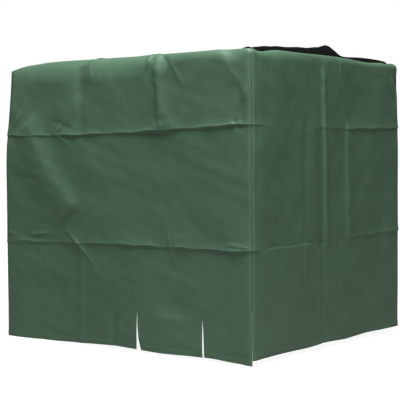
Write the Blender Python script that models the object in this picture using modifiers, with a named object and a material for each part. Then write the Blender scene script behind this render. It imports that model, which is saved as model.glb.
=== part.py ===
"""A loose cover for a caged 1000 litre water tank, in the shape in which it hangs.

Metres, +Z up. The origin lies under the middle of the top, where the cloth rests on the tank.
The front wall, with the tap flap, faces -Y and the right wall faces +X.
"""
import math
from collections import namedtuple

import bmesh
import bpy
from mathutils import Vector

# Driving dimensions of the hung cover, measured over the cloth
LENGTH = 1.25
DEPTH = 1.05
CLOTH = 0.002
TOP = CLOTH
SEAM_GAP = 0.0003
TOP_SEAM_GAP = 0.0008

# The upright corners: the seam runs down the middle facet of each
CORNER_RADIUS = 0.022
CORNER_GROWTH = 0.5
SEAM_ANGLE = math.radians(45)
CORNER_FACET = math.radians(18)

# How far a pressed crease, a corner's droop and a corner's lean reach along the cloth
CREASE_REACH_ABOVE = 0.036
CREASE_REACH_BELOW = 0.008
DROP_REACH = 0.045
LEAN_REACH = 0.22
LEAN_HEIGHT = 0.45
ROLL_BLEND = 0.09
FOLD_END = 0.030
TOP_EDGE_FLAT = 0.075
TOP_EDGE_FADE = 0.05

# Slack in the walls: long soft waves, none at the corners
Wave = namedtuple("Wave", "height along_pitch upright_pitch phase")
WAVES = (
    Wave(height=0.0030, along_pitch=0.83, upright_pitch=1.35, phase=0.7),
    Wave(height=0.0020, along_pitch=0.39, upright_pitch=-0.95, phase=2.1),
)
WAVE_FADE = 0.16
WAVE_SHIFT = 1.7

# How a wall rolls over the tank's edge, and laps on to the top, before its seam
Roll = namedtuple("Roll", "height depth lap")

# The corners in order round the cover; wall n runs from corner n to the next
Corner = namedtuple("Corner", "low_crease high_crease low_rise high_rise roll drop lean bulge flare")
CORNERS = (
    Corner(-0.742, -0.296, 0.006, 0.008, Roll(0.032, 0.017, 0.005),
           drop=0.030, lean=0.016, bulge=0.000, flare=0.021),
    Corner(-0.722, -0.270, 0.007, 0.009, Roll(0.021, 0.011, 0.003),
           drop=0.000, lean=0.002, bulge=0.000, flare=0.000),
    Corner(-0.706, -0.274, 0.007, 0.009, Roll(0.028, 0.015, 0.004),
           drop=0.008, lean=0.006, bulge=0.000, flare=0.016),
    Corner(-0.724, -0.288, 0.006, 0.007, Roll(0.044, 0.026, 0.006),
           drop=0.024, lean=0.008, bulge=0.002, flare=0.010),
)

# Upright sections of a wall, counted from its left end seen from outside; fullness is how much
# of the wall's roll over the tank's edge is there
Section = namedtuple("Section", "along hem low_crease high_crease low_rise high_rise fullness")
FRONT_SECTIONS = (
    Section(0.300, -1.136, -0.732, -0.299, 0.007, 0.007, 1.00),
    Section(0.600, -1.127, -0.725, -0.294, 0.006, 0.006, 1.00),
    Section(0.830, -1.131, -0.725, -0.285, 0.008, 0.007, 1.00),
    Section(0.885, -1.130, -0.725, -0.283, 0.007, 0.007, 0.45),
    Section(1.050, -1.127, -0.725, -0.277, 0.007, 0.008, 0.35),
    Section(1.180, -1.134, -0.726, -0.268, 0.008, 0.010, 0.60),
)
RIGHT_SECTIONS = (
    Section(0.140, -1.115, -0.718, -0.275, 0.008, 0.006, 1.00),
    Section(0.370, -1.120, -0.718, -0.277, 0.007, 0.006, 1.00),
    Section(0.500, -1.115, -0.712, -0.279, 0.009, 0.007, 1.00),
    Section(0.640, -1.119, -0.713, -0.282, 0.006, 0.010, 1.00),
    Section(0.820, -1.114, -0.711, -0.278, 0.008, 0.010, 1.00),
)
BACK_SECTIONS = (
    Section(0.400, -1.122, -0.716, -0.281, 0.007, 0.008, 1.00),
    Section(0.850, -1.117, -0.712, -0.276, 0.008, 0.006, 1.00),
)
LEFT_SECTIONS = (
    Section(0.350, -1.130, -0.728, -0.284, 0.006, 0.008, 1.00),
    Section(0.700, -1.125, -0.734, -0.292, 0.008, 0.007, 1.00),
)

# Folds run from one place on a wall to another: a ridge stands out, a trough goes in
Fold = namedtuple("Fold", "along height to_along to_height rise left right")
FRONT_FOLDS = (
    Fold(0.405, 0.000, 0.402, -0.280, rise=-0.005, left=0.022, right=0.014),
    Fold(0.432, 0.000, 0.428, -0.280, rise=0.005, left=0.012, right=0.030),
    Fold(0.818, 0.000, 0.836, -0.250, rise=-0.011, left=0.022, right=0.012),
    Fold(0.848, 0.000, 0.866, -0.255, rise=0.009, left=0.012, right=0.034),
    Fold(0.131, -0.309, 0.394, -0.619, rise=0.011, left=0.100, right=0.032),
    Fold(0.419, -0.759, 0.414, -1.121, rise=0.003, left=0.020, right=0.020),
    Fold(0.588, -1.018, 0.586, -1.124, rise=-0.004, left=0.020, right=0.020),
    Fold(0.008, -0.200, 0.090, -0.290, rise=-0.006, left=0.025, right=0.025),
    Fold(0.870, -1.000, 0.870, -1.130, rise=0.007, left=0.090, right=0.090),
    Fold(1.110, -0.420, 1.060, -0.640, rise=-0.005, left=0.060, right=0.050),
)
RIGHT_FOLDS = (
    Fold(0.448, -0.060, 0.474, -0.714, rise=-0.007, left=0.030, right=0.012),
    Fold(0.466, -0.060, 0.492, -0.714, rise=0.009, left=0.012, right=0.034),
    Fold(0.485, -0.730, 0.484, -1.105, rise=0.004, left=0.016, right=0.022),
    Fold(0.337, -0.290, 0.336, -0.690, rise=0.004, left=0.020, right=0.020),
    Fold(0.666, -0.290, 0.666, -0.706, rise=0.005, left=0.020, right=0.026),
    Fold(0.985, -0.010, 1.040, -0.090, rise=-0.007, left=0.020, right=0.020),
    Fold(0.200, -0.760, 0.140, -1.000, rise=-0.004, left=0.060, right=0.050),
    Fold(0.860, -0.330, 0.800, -0.640, rise=-0.005, left=0.070, right=0.060),
)
BACK_FOLDS = (
    Fold(0.415, 0.000, 0.420, -0.270, rise=-0.008, left=0.030, right=0.020),
    Fold(0.834, -0.290, 0.830, -1.100, rise=0.006, left=0.030, right=0.030),
    Fold(0.150, -0.320, 0.340, -0.660, rise=0.008, left=0.070, right=0.040),
)
LEFT_FOLDS = (
    Fold(0.350, -0.060, 0.354, -0.700, rise=0.007, left=0.030, right=0.030),
    Fold(0.700, -0.730, 0.702, -1.100, rise=-0.005, left=0.030, right=0.030),
    Fold(0.930, -0.340, 0.760, -0.640, rise=0.008, left=0.060, right=0.040),
)

# The marks of a wall are columns on its folds
Wall = namedtuple("Wall", "name length turn hem_start hem_end column_step roll sections folds marks")
WALLS = (
    Wall("front_wall", LENGTH, 0, -1.136, -1.138, 0.052, Roll(0.090, 0.048, 0.012),
         FRONT_SECTIONS, FRONT_FOLDS, (0.403, 0.430, 0.790, 0.825, 0.855, 0.890)),
    Wall("right_wall", DEPTH, 90, -1.119, -1.116, 0.052, Roll(0.030, 0.012, 0.004),
         RIGHT_SECTIONS, RIGHT_FOLDS, (0.337, 0.445, 0.462, 0.480, 0.505, 0.666)),
    Wall("back_wall", LENGTH, 180, -1.116, -1.124, 0.120, Roll(0.050, 0.030, 0.008),
         BACK_SECTIONS, BACK_FOLDS, (0.415, 0.832)),
    Wall("left_wall", DEPTH, 270, -1.124, -1.136, 0.120, Roll(0.060, 0.034, 0.008),
         LEFT_SECTIONS, LEFT_FOLDS, (0.352, 0.701)),
)
FRONT, RIGHT, BACK, LEFT = range(len(WALLS))
# Columns beside each corner, shared by the walls and the top so that their seam has one line
END_COLUMNS = (0.047, 0.077, 0.112)

# Rows of a wall: shares of the way from one guide line to the next, then round the roll
HEM_ROWS = (0.0, 0.05, 0.27, 0.50, 0.73, 0.90, 0.966)
MIDDLE_ROWS = (0.0, 0.06, 0.14, 0.35, 0.58, 0.80, 0.968)
UPPER_ROWS = (0.0, 0.12, 0.30, 0.62)
ROLL_ANGLES = tuple(math.radians(angle) for angle in (0, 25, 50, 72, 90))

# The tap flap hangs between two slits in the front wall's hem
SlitLevel = namedtuple("SlitLevel", "height middle width")
SLITS = (
    (SlitLevel(-0.988, 0.707, 0.0012), SlitLevel(-1.035, 0.707, 0.0040),
     SlitLevel(-1.090, 0.711, 0.0130), SlitLevel(-1.150, 0.719, 0.0320)),
    (SlitLevel(-0.996, 1.020, 0.0012), SlitLevel(-1.040, 1.023, 0.0050),
     SlitLevel(-1.090, 1.027, 0.0060), SlitLevel(-1.150, 1.032, 0.0060)),
)
SLIT_CUT_DEPTH = 0.08

# The slack top stands up in a fold along the right edge, uneven as it goes
Crest = namedtuple("Crest", "along behind height")
CRESTS = (
    Crest(0.000, 0.020, 0.001),
    Crest(0.070, 0.022, 0.008),
    Crest(0.160, 0.030, 0.016),
    Crest(0.300, 0.045, 0.025),
    Crest(0.450, 0.055, 0.031),
    Crest(0.560, 0.060, 0.041),
    Crest(0.615, 0.060, 0.051),
    Crest(0.665, 0.052, 0.030),
    Crest(0.715, 0.042, 0.012),
    Crest(0.850, 0.040, 0.013),
    Crest(0.960, 0.038, 0.013),
    Crest(1.050, 0.030, 0.001),
)
CREST_FRONT = 0.8
CREST_BACK = 1.5

# Folds of the top, from one place to another, all standing up from the tank
TopFold = namedtuple("TopFold", "x y to_x to_y rise width")
TOP_FOLDS = (
    TopFold(-0.210, -0.450, -0.206, 0.460, rise=0.010, width=0.030),
    TopFold(0.205, -0.440, 0.212, 0.450, rise=0.008, width=0.030),
    TopFold(-0.560, -0.175, 0.480, -0.170, rise=0.009, width=0.030),
    TopFold(-0.550, 0.178, 0.520, 0.182, rise=0.007, width=0.030),
    TopFold(0.500, 0.100, 0.120, 0.020, rise=0.015, width=0.045),
    TopFold(-0.540, -0.430, -0.300, -0.260, rise=0.014, width=0.045),
    TopFold(-0.100, 0.300, -0.420, 0.420, rise=0.010, width=0.045),
)
TOP_STEP = 0.092
TOP_INNER = 0.155

GREEN_CLOTH = (0.048, 0.090, 0.058)
BLACK_CLOTH = (0.009, 0.010, 0.009)


def smooth(share):
    """Goes from 0 to 1 with level ends."""
    share = min(1.0, max(0.0, share))
    return share * share * (3 - 2 * share)


def between(rows, key, along):
    """A row's value at a place, blended smoothly between the rows on either side."""
    for first, second in zip(rows, rows[1:]):
        if along <= second.along:
            share = smooth((along - first.along) / (second.along - first.along))
            return getattr(first, key) * (1 - share) + getattr(second, key) * share
    return getattr(rows[-1], key)


def wall_sections(number):
    """All the sections of a wall, its two corners included."""
    wall = WALLS[number]
    start = CORNERS[number]
    end = CORNERS[(number + 1) % len(CORNERS)]
    first = Section(0.0, wall.hem_start, *start[:4], wall.sections[0].fullness)
    last = Section(wall.length, wall.hem_end, *end[:4], wall.sections[-1].fullness)
    return (first,) + wall.sections + (last,)


def roll_size(number, along):
    """The roll at a place: the wall's own, as full as it is there, or near a corner the corner's."""
    wall = WALLS[number]
    corner = CORNERS[(number + (along > wall.length / 2)) % len(CORNERS)]
    near = 1 - smooth(min(along, wall.length - along) / ROLL_BLEND)
    full = between(wall_sections(number), "fullness", along)
    return Roll(*(full * own * (1 - near) + at_corner * near
                  for own, at_corner in zip(wall.roll, corner.roll)))


def corner_drop(number, along):
    """How far the top edge droops near the corners."""
    wall = WALLS[number]
    start = CORNERS[number].drop * math.exp(-along / DROP_REACH)
    end = CORNERS[(number + 1) % len(CORNERS)].drop * math.exp(-(wall.length - along) / DROP_REACH)
    return start + end


def crease_push(above, rise):
    """A pressed crease: a sharp ridge that dies away slowly above and fast below."""
    reach = CREASE_REACH_ABOVE if above > 0 else CREASE_REACH_BELOW
    return rise * math.exp(-abs(above) / reach)


def fold_push(fold, along, height):
    """How far a fold moves the cloth out at a place on its wall."""
    run = Vector((fold.to_along - fold.along, fold.to_height - fold.height))
    here = Vector((along - fold.along, height - fold.height))
    length = run.length
    run.normalize()
    forward = here.dot(run)
    side = here.x * run.y - here.y * run.x
    width = fold.left if side > 0 else fold.right
    past = max(0.0, -forward, forward - length)
    return fold.rise * math.exp(-(side / width) ** 2 - (past / FOLD_END) ** 2)


def wall_push(number, along, height):
    """How far the cloth stands out from the plain wall: creases, folds, waves and corners."""
    wall = WALLS[number]
    sections = wall_sections(number)
    push = 0.0
    for crease in ("low", "high"):
        line = between(sections, crease + "_crease", along)
        rise = between(sections, crease + "_rise", along)
        push += crease_push(height - line, rise)
    for fold in wall.folds:
        push += fold_push(fold, along, height)
    inside = smooth(min(along, wall.length - along) / WAVE_FADE)
    round_along = along + number * WAVE_SHIFT
    for wave in WAVES:
        turn = round_along / wave.along_pitch + height / wave.upright_pitch
        push += wave.height * inside * math.sin(2 * math.pi * turn + wave.phase)
    upper = smooth((height + LEAN_HEIGHT) / LEAN_HEIGHT)
    belly = math.sin(math.pi * min(1.0, -height))
    for corner, away in ((number, along), (number + 1, wall.length - along)):
        shape = CORNERS[corner % len(CORNERS)]
        near = math.exp(-(away / LEAN_REACH) ** 2)
        push += near * (shape.flare + shape.bulge * belly - shape.lean * upper)
    return push


def wall_rows(number, along):
    """Height, inset and roll angle of each row of a wall, from the hem to the seam at the top."""
    sections = wall_sections(number)
    roll = roll_size(number, along)
    guides = [between(sections, key, along) for key in ("hem", "low_crease", "high_crease")]
    guides.append(TOP - roll.height)
    rows = []
    for shares, low, high in zip((HEM_ROWS, MIDDLE_ROWS, UPPER_ROWS), guides, guides[1:]):
        rows += [(low + share * (high - low), 0.0, 0.0) for share in shares]
    drop = corner_drop(number, along)
    for angle in ROLL_ANGLES:
        rise = math.sin(angle)
        rows.append((TOP - roll.height + roll.height * rise - drop * rise,
                     roll.depth * (1 - math.cos(angle)), angle))
    rows.append((TOP - drop, roll.depth + roll.lap, math.pi / 2))
    return rows


def wall_point(number, along, row, gap=0.0):
    """A point of a wall's outer side, in world coordinates."""
    wall = WALLS[number]
    height, inset, angle = row
    half = wall.length / 2
    stand_off = (LENGTH + DEPTH) / 2 - half - inset
    radius = CORNER_RADIUS + CORNER_GROWTH * inset
    place = along - half
    straight = half - CORNER_RADIUS
    turn = max(0.0, abs(place) - straight) / CORNER_RADIUS
    reach = radius
    if turn > SEAM_ANGLE - CORNER_FACET / 2:
        reach = radius * math.cos(CORNER_FACET / 2) / math.cos(SEAM_ANGLE - turn)
    side = math.copysign(1.0, place)
    flat_half = half - inset - radius
    flat = side * flat_half if turn else place * flat_half / straight
    x = flat + side * reach * math.sin(turn)
    out = stand_off - radius + reach * math.cos(turn)
    if turn:
        x -= side * gap * math.cos(turn)
        out += gap * math.sin(turn)
    push = wall_push(number, along, height) * math.sqrt(max(0.0, math.cos(angle)))
    sideways = side * math.sin(turn)
    x += push * math.cos(angle) * sideways
    out += push * math.cos(angle) * math.cos(turn)
    heading = math.radians(wall.turn)
    return Vector((x * math.cos(heading) + out * math.sin(heading),
                   x * math.sin(heading) - out * math.cos(heading),
                   height + push * math.sin(angle)))


def corner_places():
    """Places of the facets at the left end of a wall, from the seam to the straight."""
    angles = (SEAM_ANGLE, SEAM_ANGLE - CORNER_FACET / 2, CORNER_FACET, 0.0)
    return [CORNER_RADIUS - CORNER_RADIUS * angle for angle in angles]


def wall_columns(wall):
    """Places of a wall's columns: its corner facets, its marked folds and an even rest."""
    *ends, last = *corner_places(), *END_COLUMNS
    fixed = [last, *wall.marks, wall.length - last]
    places = [*ends, *(wall.length - end for end in ends), fixed[-1]]
    for left, right in zip(fixed, fixed[1:]):
        count = max(1, round((right - left) / wall.column_step))
        places += [left + (right - left) * n / count for n in range(count)]
    return sorted(places)


def sheet(name, mesh, colour, material_name):
    """A piece of cloth: an open surface given its thickness on the inner side."""
    piece = bpy.data.objects.new(name, mesh)
    bpy.data.collections["water_tank_cover"].objects.link(piece)
    mesh.shade_smooth()
    mesh.set_sharp_from_angle(angle=math.radians(40))
    mesh.materials.append(cloth_material(material_name, colour))
    thickness = piece.modifiers.new("Cloth thickness", "SOLIDIFY")
    thickness.thickness = CLOTH
    thickness.offset = -1
    thickness.use_even_offset = True
    return piece


def cloth_material(name, colour):
    """A plain coated cloth."""
    material = bpy.data.materials.get(name)
    if material:
        return material
    material = bpy.data.materials.new(name)
    material.use_nodes = True
    shader = material.node_tree.nodes["Principled BSDF"]
    shader.inputs["Base Color"].default_value = (*colour, 1)
    shader.inputs["Roughness"].default_value = 0.55
    shader.inputs["Metallic"].default_value = 0.0
    return material


def grid_mesh(name, grid, skip_corners=False):
    """A surface over a grid of points, its corner squares cut to triangles where asked."""
    surface = bmesh.new()
    last_row = len(grid) - 1
    last_column = len(grid[0]) - 1
    dropped = set()
    if skip_corners:
        dropped = {(row, column) for row in (0, last_row) for column in (0, last_column)}
    vertices = {}
    for row, points in enumerate(grid):
        for column, point in enumerate(points):
            if (row, column) not in dropped:
                vertices[row, column] = surface.verts.new(point)
    for row in range(last_row):
        for column in range(last_column):
            corners = ((row, column), (row, column + 1), (row + 1, column + 1), (row + 1, column))
            surface.faces.new([vertices[corner] for corner in corners if corner in vertices])
    mesh = bpy.data.meshes.new(name)
    surface.to_mesh(mesh)
    surface.free()
    return mesh


def make_wall(number):
    """One wall, from seam to seam and from its hem to the seam with the top."""
    wall = WALLS[number]
    places = wall_columns(wall)
    grid = [[] for _ in wall_rows(number, 0.0)]
    for column, along in enumerate(places):
        at_seam = column in (0, len(places) - 1)
        gap = SEAM_GAP / 2 if at_seam else 0.0
        for line, row in zip(grid, wall_rows(number, along)):
            line.append(wall_point(number, along, row, gap))
    mesh = grid_mesh(wall.name, grid)
    return sheet(wall.name, mesh, GREEN_CLOTH, "Green coated cloth")


def slit_cutter(name, levels):
    """A thin loft that follows a slit from its tip down past the hem."""
    cutter = bmesh.new()
    front = -DEPTH / 2 - SLIT_CUT_DEPTH / 2
    back = -DEPTH / 2 + SLIT_CUT_DEPTH / 2
    rings = []
    for level in levels:
        middle = level.middle - LENGTH / 2
        left = middle - level.width / 2
        right = middle + level.width / 2
        outline = ((left, front), (right, front), (right, back), (left, back))
        rings.append([cutter.verts.new((x, y, level.height)) for x, y in outline])
    for upper, lower in zip(rings, rings[1:]):
        for n in range(len(upper)):
            after = (n + 1) % len(upper)
            cutter.faces.new((upper[n], lower[n], lower[after], upper[after]))
    cutter.faces.new(rings[0])
    cutter.faces.new(reversed(rings[-1]))
    bmesh.ops.recalc_face_normals(cutter, faces=cutter.faces)
    mesh = bpy.data.meshes.new(name)
    cutter.to_mesh(mesh)
    cutter.free()
    piece = bpy.data.objects.new(name, mesh)
    bpy.data.collections["cutters"].objects.link(piece)
    piece.hide_render = True
    piece.display_type = "WIRE"
    return piece


def cut_slits(wall):
    """Cuts the two slits beside the tap flap through the front wall."""
    for number, levels in enumerate(SLITS):
        cut = wall.modifiers.new("Tap flap slit", "BOOLEAN")
        cut.operation = "DIFFERENCE"
        cut.object = slit_cutter(f"slit_{number + 1}", levels)


def top_edge(number, along):
    """A point of the top's edge, beside the wall's seam."""
    height, inset, angle = wall_rows(number, along)[-1]
    return wall_point(number, along, (height, inset + TOP_SEAM_GAP, angle))


def crest_rise(point):
    """The standing fold along the right edge."""
    along = point.y + DEPTH / 2
    edge = LENGTH / 2 - WALLS[RIGHT].roll.depth - WALLS[RIGHT].roll.lap
    behind = edge - point.x
    crest = between(CRESTS, "behind", along)
    height = between(CRESTS, "height", along)
    if behind <= crest:
        return height * max(0.0, behind / crest) ** CREST_FRONT
    return height * (1 - smooth((behind - crest) / (crest * CREST_BACK)))


def top_rise(point):
    """How far the top stands off the tank at a place, apart from its edge."""
    rise = 0.0
    for fold in TOP_FOLDS:
        run = Vector((fold.to_x - fold.x, fold.to_y - fold.y))
        here = Vector((point.x - fold.x, point.y - fold.y))
        share = min(1.0, max(0.0, here.dot(run) / run.length_squared))
        away = (here - share * run).length
        rise += fold.rise * math.exp(-(away / fold.width) ** 2)
    from_side = min(LENGTH / 2 - abs(point.x), DEPTH / 2 - abs(point.y))
    return rise * smooth((from_side - TOP_EDGE_FLAT) / TOP_EDGE_FADE)


def top_columns(length):
    """Places across the top from front to back, close together by both edges."""
    near = [*corner_places(), *END_COLUMNS, TOP_INNER]
    count = round((length - 2 * TOP_INNER) / TOP_STEP)
    middle = [TOP_INNER + (length - 2 * TOP_INNER) * n / count for n in range(1, count)]
    return sorted(near + [length - place for place in near] + middle)


def top_drop(x_place, y_place):
    """How far the top droops at its corners, in step with the walls' own droop there."""
    at_seam = corner_places()[0]
    drop = 0.0
    for number, corner in enumerate(CORNERS):
        from_x = LENGTH - x_place if number in (1, 2) else x_place
        from_y = DEPTH - y_place if number in (2, 3) else y_place
        drop += corner.drop * math.exp(-(from_x + from_y - at_seam) / DROP_REACH)
    return drop


def make_top():
    """The top, sewn to the four walls, slack and standing up along the right edge."""
    across = wall_columns(WALLS[FRONT])
    deep = top_columns(DEPTH)
    front = [top_edge(FRONT, place) for place in across]
    right = [top_edge(RIGHT, place) for place in deep]
    back = [top_edge(BACK, LENGTH - place) for place in across]
    left = [top_edge(LEFT, DEPTH - place) for place in deep]
    grid = []
    for row, y_place in enumerate(deep):
        v = (left[row].y - left[0].y) / (left[-1].y - left[0].y)
        line = []
        for column, x_place in enumerate(across):
            u = (front[column].x - front[0].x) / (front[-1].x - front[0].x)
            corners = (front[0] * (1 - u) * (1 - v) + front[-1] * u * (1 - v)
                       + back[0] * (1 - u) * v + back[-1] * u * v)
            point = (front[column] * (1 - v) + back[column] * v
                     + left[row] * (1 - u) + right[row] * u - corners)
            point.z = TOP - top_drop(x_place, y_place)
            at_edge = row in (0, len(deep) - 1) or column in (0, len(across) - 1)
            if not at_edge:
                point.z += crest_rise(point) + top_rise(point)
            line.append(point)
        grid.append(line)
    mesh = grid_mesh("top_panel", grid, skip_corners=True)
    return sheet("top_panel", mesh, BLACK_CLOTH, "Black coated cloth")


def main():
    for old in list(bpy.data.objects):
        bpy.data.objects.remove(old, do_unlink=True)
    for name in ("water_tank_cover", "cutters"):
        bpy.context.scene.collection.children.link(bpy.data.collections.new(name))
    walls = [make_wall(number) for number in range(len(WALLS))]
    cut_slits(walls[FRONT])
    make_top()


main()
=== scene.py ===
"""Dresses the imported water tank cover: green coated cloth walls, a slack black top, a soft studio.

The walls and the top are thin sheets on the shapes of their solids, with their folds set closer to
the photo. Every place on a wall is given by how far along it lies from the wall's left end, seen
from outside, and by its height.
"""
import math
from collections import namedtuple

import bmesh
import bpy
import numpy as np
from bpy.props import FloatProperty, FloatVectorProperty, PointerProperty
from mathutils import Matrix, Vector


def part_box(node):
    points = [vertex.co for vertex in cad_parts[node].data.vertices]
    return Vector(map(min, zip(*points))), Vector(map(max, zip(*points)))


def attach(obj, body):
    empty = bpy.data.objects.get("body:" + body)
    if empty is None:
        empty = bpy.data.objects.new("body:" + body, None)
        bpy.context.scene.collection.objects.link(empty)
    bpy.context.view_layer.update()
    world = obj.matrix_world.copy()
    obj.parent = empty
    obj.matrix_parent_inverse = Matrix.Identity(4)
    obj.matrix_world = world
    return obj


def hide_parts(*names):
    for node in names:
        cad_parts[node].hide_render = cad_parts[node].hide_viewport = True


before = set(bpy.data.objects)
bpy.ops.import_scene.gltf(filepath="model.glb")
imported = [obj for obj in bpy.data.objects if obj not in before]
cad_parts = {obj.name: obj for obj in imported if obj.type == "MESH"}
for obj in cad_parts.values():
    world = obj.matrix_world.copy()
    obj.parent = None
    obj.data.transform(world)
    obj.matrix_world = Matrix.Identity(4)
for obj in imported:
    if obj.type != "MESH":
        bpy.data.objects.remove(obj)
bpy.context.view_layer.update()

bl_info = {
    "name": "Water tank cover",
    "version": (1, 0, 0),
    "blender": (4, 5, 0),
    "location": "View3D > Sidebar > Tank cover",
    "description": "Makes a loose cloth cover for a square water tank, with its studio",
    "category": "Add Mesh",
}

MM = 0.001

# Driving dimensions of the hung cover, in metres, as the solids have them
LENGTH = 1.25
DEPTH = 1.05
TOP = 0.002
HEM_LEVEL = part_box("front_wall")[0][2]

CORNER_RADIUS = 0.022
CORNER_GROWTH = 0.5
SEAM_ANGLE = math.radians(45)
SEAM_GAP = 0.0003
TOP_SEAM_GAP = 0.0008

# A pressed crease fades slowly and sharply above its line at once, and drops away below it
CREASE_WIDE = 0.034
CREASE_CLOSE = 0.010
CREASE_BELOW = 0.003
CREASE_UNEVEN = 0.35
CREASE_WANDER = 0.0015
CREASE_MARGIN = 0.03
PUCKER_MARGIN = 0.03
DROP_REACH = 0.045
LEAN_REACH = 0.22
LEAN_HEIGHT = 0.45
ROLL_BLEND = 0.09
FOLD_END = 0.030
TOP_EDGE_FLAT = 0.075
TOP_EDGE_FADE = 0.05

Wave = namedtuple("Wave", "height along_pitch upright_pitch phase")
WAVES = (
    Wave(height=0.0030, along_pitch=0.83, upright_pitch=1.35, phase=0.7),
    Wave(height=0.0020, along_pitch=0.39, upright_pitch=-0.95, phase=2.1),
)
WAVE_FADE = 0.16
WAVE_SHIFT = 1.7

Roll = namedtuple("Roll", "height depth lap")
Corner = namedtuple("Corner", "low_crease high_crease low_rise high_rise roll drop lean bulge flare")
CORNERS = (
    Corner(-0.742, -0.296, 0.002, 0.003, Roll(0.032, 0.017, 0.005),
           drop=0.030, lean=0.027, bulge=0.000, flare=0.021),
    Corner(-0.722, -0.270, 0.004, 0.003, Roll(0.021, 0.011, 0.003),
           drop=0.000, lean=0.002, bulge=0.000, flare=0.000),
    Corner(-0.706, -0.274, 0.004, 0.004, Roll(0.028, 0.015, 0.004),
           drop=0.013, lean=0.006, bulge=0.000, flare=0.016),
    Corner(-0.724, -0.288, 0.006, 0.007, Roll(0.044, 0.026, 0.006),
           drop=0.024, lean=0.008, bulge=0.002, flare=0.010),
)

Section = namedtuple("Section", "along hem low_crease high_crease low_rise high_rise fullness")
FRONT_SECTIONS = (
    Section(0.100, -1.137, -0.741, -0.299, 0.001, 0.004, 1.00),
    Section(0.150, -1.137, -0.739, -0.300, 0.004, 0.002, 1.00),
    Section(0.200, -1.136, -0.736, -0.300, 0.004, 0.004, 1.00),
    Section(0.270, -1.136, -0.733, -0.299, 0.002, 0.003, 1.00),
    Section(0.360, -1.134, -0.731, -0.298, 0.003, 0.007, 1.00),
    Section(0.600, -1.127, -0.725, -0.294, 0.006, 0.005, 1.00),
    Section(0.830, -1.131, -0.725, -0.285, 0.005, 0.009, 1.00),
    Section(0.885, -1.130, -0.725, -0.283, 0.004, 0.007, 0.45),
    Section(0.960, -1.128, -0.725, -0.280, 0.007, 0.006, 0.38),
    Section(1.050, -1.127, -0.725, -0.277, 0.005, 0.006, 0.35),
    Section(1.180, -1.134, -0.726, -0.268, 0.009, 0.009, 0.60),
)
RIGHT_SECTIONS = (
    Section(0.070, -1.116, -0.720, -0.272, -0.001, 0.001, 1.00),
    Section(0.140, -1.115, -0.718, -0.275, -0.003, 0.000, 1.00),
    Section(0.370, -1.120, -0.718, -0.277, -0.002, 0.000, 1.00),
    Section(0.500, -1.115, -0.712, -0.279, 0.002, 0.001, 1.00),
    Section(0.640, -1.119, -0.713, -0.282, 0.001, 0.003, 1.00),
    Section(0.820, -1.114, -0.711, -0.278, 0.003, 0.005, 1.00),
)
BACK_SECTIONS = (
    Section(0.400, -1.122, -0.716, -0.281, 0.007, 0.008, 1.00),
    Section(0.850, -1.117, -0.712, -0.276, 0.008, 0.006, 1.00),
)
LEFT_SECTIONS = (
    Section(0.350, -1.130, -0.728, -0.284, 0.006, 0.008, 1.00),
    Section(0.700, -1.125, -0.734, -0.292, 0.008, 0.007, 1.00),
)

# Main folds: a ridge stands out, a trough goes in, and bow bends a fold's line
Fold = namedtuple("Fold", "along height to_along to_height rise left right bow", defaults=(0.0,))
FRONT_FOLDS = (
    Fold(0.410, 0.000, 0.412, -0.120, rise=-0.006, left=0.030, right=0.040),
    Fold(0.410, -0.050, 0.418, -0.280, rise=-0.003, left=0.020, right=0.024),
    Fold(0.812, 0.000, 0.830, -0.220, rise=0.010, left=0.020, right=0.034),
    Fold(0.770, -0.010, 0.772, -0.030, rise=0.006, left=0.034, right=0.026),
    Fold(0.815, -0.268, 0.870, -0.266, rise=0.006, left=0.022, right=0.022),
    Fold(0.130, -0.262, 0.352, -0.585, rise=0.012, left=0.100, right=0.048, bow=0.020),
    Fold(0.419, -0.759, 0.414, -1.121, rise=0.003, left=0.020, right=0.020),
    Fold(0.588, -1.018, 0.586, -1.124, rise=-0.004, left=0.020, right=0.020),
    Fold(0.870, -1.000, 0.870, -1.130, rise=0.007, left=0.090, right=0.090),
)
RIGHT_FOLDS = (
    Fold(0.055, -0.040, 0.055, -1.090, rise=0.006, left=0.030, right=0.250),
    Fold(0.463, -0.060, 0.470, -0.714, rise=-0.006, left=0.045, right=0.008),
    Fold(0.483, -0.140, 0.492, -0.714, rise=0.004, left=0.008, right=0.014),
    Fold(0.470, -0.730, 0.470, -1.105, rise=-0.003, left=0.016, right=0.014),
    Fold(0.340, -0.290, 0.338, -0.690, rise=-0.003, left=0.020, right=0.020),
    Fold(0.652, -0.290, 0.652, -0.706, rise=0.004, left=0.014, right=0.050),
    Fold(0.985, -0.010, 1.040, -0.090, rise=-0.007, left=0.020, right=0.020),
)
BACK_FOLDS = (
    Fold(0.415, 0.000, 0.420, -0.270, rise=-0.008, left=0.030, right=0.020),
    Fold(0.834, -0.290, 0.830, -1.100, rise=0.006, left=0.030, right=0.030),
    Fold(0.150, -0.320, 0.340, -0.660, rise=0.008, left=0.070, right=0.040),
)
LEFT_FOLDS = (
    Fold(0.350, -0.060, 0.354, -0.700, rise=0.007, left=0.030, right=0.030),
    Fold(0.700, -0.730, 0.702, -1.100, rise=-0.005, left=0.030, right=0.030),
    Fold(0.930, -0.340, 0.760, -0.640, rise=0.008, left=0.060, right=0.040),
)

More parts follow.
